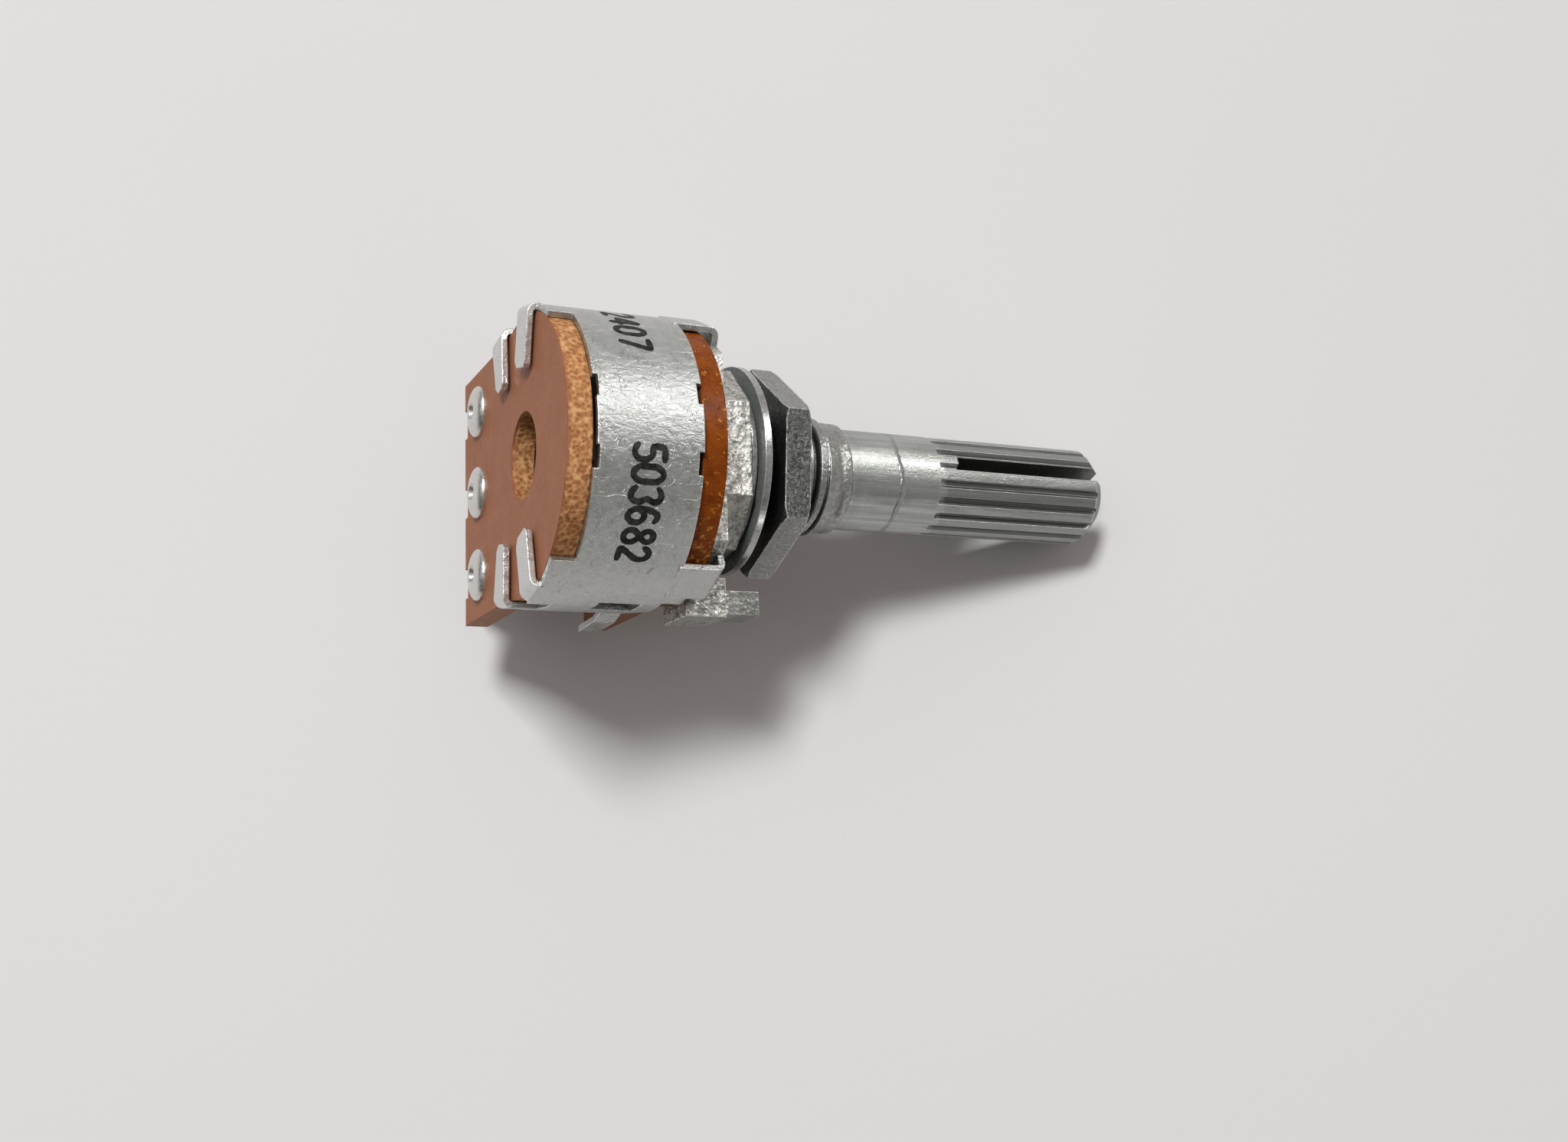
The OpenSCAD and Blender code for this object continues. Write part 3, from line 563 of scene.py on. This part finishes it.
silver = plain_metal("silver_film", (0.5, 0.49, 0.46), (0.66, 0.65, 0.62), 0.45)
bronze = plain_metal("spring_bronze", (0.55, 0.35, 0.14), (0.72, 0.5, 0.24), 0.3)
carbon = moulded("carbon_film", (0.02, 0.02, 0.02), (0.045, 0.045, 0.045), 0.55)
black = moulded("black_moulding", (0.018, 0.018, 0.02), (0.04, 0.04, 0.042), 0.45)

dress("can", tinplate())
dress("front_housing", cast_metal())
dress("hex_nut", nut_metal())
dress("flat_washer", washer_metal())
dress("shaft", shaft_metal())
dress("rear_wafer", rear_resin)
dress("front_wafer", front_resin)
for gang in ("front", "rear"):
    for i in (1, 2, 3):
        dress(f"{gang}_terminal_{i}", tin)
    dress(f"{gang}_rivets", tin)
    dress(f"{gang}_resistive_track", carbon)
    dress(f"{gang}_collector_ring", silver)
    dress(f"{gang}_rotor", black)
    dress(f"{gang}_wiper", bronze)


# Bodies swept along a line
def sweep(bm, rings):
    """A closed body through rings of four corners each."""
    for one, two in zip(rings, rings[1:]):
        for k in range(4):
            bm.faces.new((one[k], one[(k + 1) % 4], two[(k + 1) % 4], two[k]))
    bm.faces.new(rings[0])
    bm.faces.new(rings[-1])


def finished_mesh(bm, name):
    bmesh.ops.recalc_face_normals(bm, faces=bm.faces)
    mesh = bpy.data.meshes.new(name)
    bm.to_mesh(mesh)
    bm.free()
    return mesh


def around(x, radius, angle):
    """A point at an angle about the shaft's axis, from Z towards Y, in metres."""
    return Vector((x * MM, radius * MM * math.sin(angle), radius * MM * math.cos(angle)))


# Thread cut into the bushing, which is plain in the solids
def groove_mesh(name):
    """A helical V-shaped cutter along the thread, shallow at both ends."""
    bm = bmesh.new()
    turns = (THREAD_LAST_X - THREAD_FIRST_X) / THREAD_PITCH
    full_depth = THREAD_R - THREAD_ROOT_R
    rings = []
    for i in range(int(turns * THREAD_PARTS_PER_TURN) + 1):
        turn = i / THREAD_PARTS_PER_TURN
        x = THREAD_FIRST_X + turn * THREAD_PITCH
        angle = 2 * math.pi * turn
        fade = min(1.0, turn * 2, (turns - turn) * 2)
        depth = max(CUTTER_MIN_DEPTH, full_depth * fade)
        part = (depth + CUTTER_RISE) / (full_depth + CUTTER_RISE)
        half = THREAD_WIDTH / 2 * part * CUTTER_SPREAD
        out_r, low_r = THREAD_R + CUTTER_RISE, THREAD_R - depth
        corners = ((-half, out_r), (half, out_r), (CUTTER_FLAT, low_r), (-CUTTER_FLAT, low_r))
        rings.append([bm.verts.new(around(x + dx, r, angle)) for dx, r in corners])
    sweep(bm, rings)
    return finished_mesh(bm, name)


def threaded_housing():
    source = cad("front_housing")
    cutter = add_object("thread_cutter", groove_mesh("thread_cutter"))
    piece = add_object("threaded_housing", source.data.copy())
    cut = piece.modifiers.new("thread", "BOOLEAN")
    cut.operation = "DIFFERENCE"
    cut.solver = "EXACT"
    cut.object = cutter
    bpy.context.view_layer.update()
    evaluated = piece.evaluated_get(bpy.context.evaluated_depsgraph_get())
    mesh = bpy.data.meshes.new_from_object(evaluated)
    piece.modifiers.clear()
    piece.data = mesh
    bpy.data.objects.remove(cutter)
    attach(piece, "body")
    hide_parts("front_housing")


threaded_housing()


# Printed digits on the can, in place of the characters in the photograph
GLYPHS = {
    "0": [(0.1, 0.2), (0.1, 0.8), (0.3, 1), (0.5, 1), (0.7, 0.8), (0.7, 0.2), (0.5, 0), (0.3, 0),
          (0.1, 0.2)],
    "2": [(0.1, 0.8), (0.28, 1), (0.55, 1), (0.7, 0.82), (0.68, 0.6), (0.1, 0), (0.72, 0)],
    "3": [(0.1, 0.88), (0.28, 1), (0.55, 1), (0.7, 0.8), (0.5, 0.54), (0.7, 0.28), (0.55, 0),
          (0.25, 0), (0.08, 0.14)],
    "4": [(0.55, 0), (0.55, 1), (0.05, 0.3), (0.75, 0.3)],
    "5": [(0.68, 1), (0.16, 1), (0.12, 0.58), (0.5, 0.62), (0.7, 0.4), (0.68, 0.14), (0.5, 0),
          (0.25, 0), (0.08, 0.12)],
    "6": [(0.64, 0.9), (0.48, 1), (0.28, 0.96), (0.1, 0.6), (0.1, 0.2), (0.3, 0), (0.52, 0),
          (0.7, 0.2), (0.68, 0.42), (0.5, 0.56), (0.28, 0.54), (0.1, 0.36)],
    "7": [(0.08, 1), (0.72, 1), (0.3, 0)],
    "8": [(0.4, 0.54), (0.14, 0.7), (0.16, 0.9), (0.32, 1), (0.5, 1), (0.66, 0.9), (0.66, 0.7),
          (0.4, 0.54), (0.12, 0.34), (0.1, 0.14), (0.28, 0), (0.54, 0), (0.7, 0.14), (0.68, 0.34),
          (0.4, 0.54)],
}


def smoothed(points):
    """Points close together along the line, with its corners rounded."""
    path = [points[0]]
    for a, b in zip(points, points[1:]):
        steps = max(1, int((b - a).length / STROKE_STEP))
        path += [a.lerp(b, k / steps) for k in range(1, steps + 1)]
    for _ in range(SMOOTHING_ROUNDS):
        inner = [(a + 2 * b + c) / 4 for a, b, c in zip(path, path[1:], path[2:])]
        path = [path[0]] + inner + [path[-1]]
    return path


def digits(name, text, start_turn, spacing, base_x, height, stroke, seed):
    """Digits that run round the can towards -Y, with their tops towards the shaft."""
    rng = random.Random(seed)
    bm = bmesh.new()

    def on_can(point, lift):
        angle = math.radians(start_turn) - point.x / CAN_R
        return around(base_x + point.y, CAN_R + INK_LIFT + lift, angle)

    for i, char in enumerate(text):
        start = Vector((i * spacing + rng.uniform(-JITTER, JITTER), 0))
        lean = rng.uniform(-JITTER, JITTER)
        path = smoothed([Vector((x * height * GLYPH_WIDTH + lean * y, y * height))
                         for x, y in GLYPHS[char]])
        last = len(path) - 1
        rings = []
        for k, point in enumerate(path):
            way = (path[min(k + 1, last)] - path[max(k - 1, 0)]).normalized()
            across = Vector((-way.y, way.x)) * stroke / 2 * rng.uniform(*STROKE_SPREAD)
            if k in (0, last):
                across *= STROKE_END
                point = point + way * stroke * STROKE_REACH * (1 if k else -1)
            one, two = start + point + across, start + point - across
            corners = ((one, 0), (two, 0), (two, -INK_DEPTH), (one, -INK_DEPTH))
            rings.append([bm.verts.new(on_can(corner, lift)) for corner, lift in corners])
        sweep(bm, rings)
    piece = add_object(name, finished_mesh(bm, name))
    piece.data.materials.append(ink(name + "_ink"))
    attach(piece, "body")


digits("print_short", "2407", start_turn=63, spacing=1.2, base_x=-8.45, height=1.62,
       stroke=0.36, seed=3)
digits("print_long", "503682", start_turn=-7, spacing=1.13, base_x=-8.3, height=1.7,
       stroke=0.36, seed=5)


# Camera
turned = Vector(CAMERA_TURN)
view = Matrix.Rotation(turned.length, 3, turned.normalized())
view = view @ Matrix(((1, 0, 0), (0, -1, 0), (0, 0, -1)))
place = -(view.transposed() @ Vector(CAMERA_SHIFT))
right, down, ahead = (Vector(row) for row in view)
picture_up = -down
camera_data = bpy.data.cameras.new("camera")
camera_data.sensor_fit = "HORIZONTAL"
camera_data.sensor_width = SENSOR_WIDTH
camera_data.lens = FOCAL_PX / IMAGE_WIDTH_PX * SENSOR_WIDTH
camera_data.clip_start = 0.001
camera = add_object("camera", camera_data)
camera.matrix_world = Matrix((
    (right.x, -down.x, -ahead.x, place.x * MM),
    (right.y, -down.y, -ahead.y, place.y * MM),
    (right.z, -down.z, -ahead.z, place.z * MM),
    (0, 0, 0, 1)))
bpy.context.scene.camera = camera

# Floor under the shaft's tip and the front row of pins
tip = Vector((TIP_X, 0, -SHAFT_R))
along = (tip - Vector((FRONT_INNER_X, 0, PINS_LOW_Z))).normalized()
up = Vector((-along.z, 0, along.x))
middle = tip - up * FLOOR_DROP
corners = [(middle + along * i * FLOOR_HALF + Vector((0, j * FLOOR_HALF, 0))) * MM
           for i, j in ((-1, -1), (1, -1), (1, 1), (-1, 1))]
floor_mesh = bpy.data.meshes.new("floor")
floor_mesh.from_pydata(corners, [], [(0, 1, 2, 3)])
floor_mesh.materials.append(paper(picture_up))
floor = add_object("floor", floor_mesh)

# Soft light from all round, strongest from above, that tints the shadow a little
world = bpy.data.worlds.new("world")
bpy.context.scene.world = world
world.use_nodes = True
tree = world.node_tree
background = tree.nodes["Background"]
coords = tree.nodes.new("ShaderNodeTexCoord")
dot = tree.nodes.new("ShaderNodeVectorMath")
dot.operation = "DOT_PRODUCT"
dot.inputs[1].default_value = SKY_WAY
sky = tree.nodes.new("ShaderNodeMapRange")
sky.interpolation_type = "SMOOTHSTEP"
for key, value in SKY_RANGE.items():
    sky.inputs[key].default_value = value
tree.links.new(coords.outputs["Generated"], dot.inputs[0])
tree.links.new(dot.outputs["Value"], sky.inputs["Value"])
tree.links.new(sky.outputs["Result"], background.inputs["Strength"])
ray = tree.nodes.new("ShaderNodeLightPath")
tint = tree.nodes.new("ShaderNodeMix")
tint.data_type = "RGBA"
tint.inputs[MIX_A].default_value = SKY_COLOUR
tint.inputs[MIX_B].default_value = SKY_COLOUR_DIFFUSE
tree.links.new(ray.outputs["Is Diffuse Ray"], tint.inputs[MIX_FACTOR])
tree.links.new(tint.outputs[MIX_RESULT], background.inputs["Color"])


def lamp(name, way, distance, width, height, power):
    """A rectangular lamp that way from the part, with its lengths in metres."""
    data = bpy.data.lights.new(name, "AREA")
    data.shape = "RECTANGLE"
    data.size = width
    data.size_y = height
    data.energy = power
    obj = add_object(name, data)
    obj.location = Vector(LIT_POINT) * MM + way.normalized() * distance
    obj.rotation_euler = (-way).to_track_quat("-Z", "Y").to_euler()
    return obj


lamp("key", up + picture_up * 0.42 - right * 0.19,
     distance=0.62, width=0.15, height=0.11, power=3.0)
glint = lamp("glint", Vector((0.43, 0.54, 0.72)),
             distance=0.45, width=0.1, height=0.07, power=0.6)
lamp("fill", up * 0.9 - right * 0.7 + picture_up * 0.1,
     distance=0.5, width=0.35, height=0.35, power=0.2)
lamp("rim", Vector((0.42, -0.82, 0.37)), distance=0.45, width=0.08, height=0.05, power=0.07)
lamp("low", up * 0.5 - picture_up * 0.9 + right * 0.3,
     distance=0.6, width=0.3, height=0.3, power=0.05)

# The glint leaves the floor out, so that the floor has one shadow
unlit = bpy.data.collections.new("unlit_by_glint")
unlit.objects.link(floor)
unlit.collection_objects[0].light_linking.link_state = "EXCLUDE"
glint.light_linking.receiver_collection = unlit

bpy.context.scene.view_settings.view_transform = "Standard"
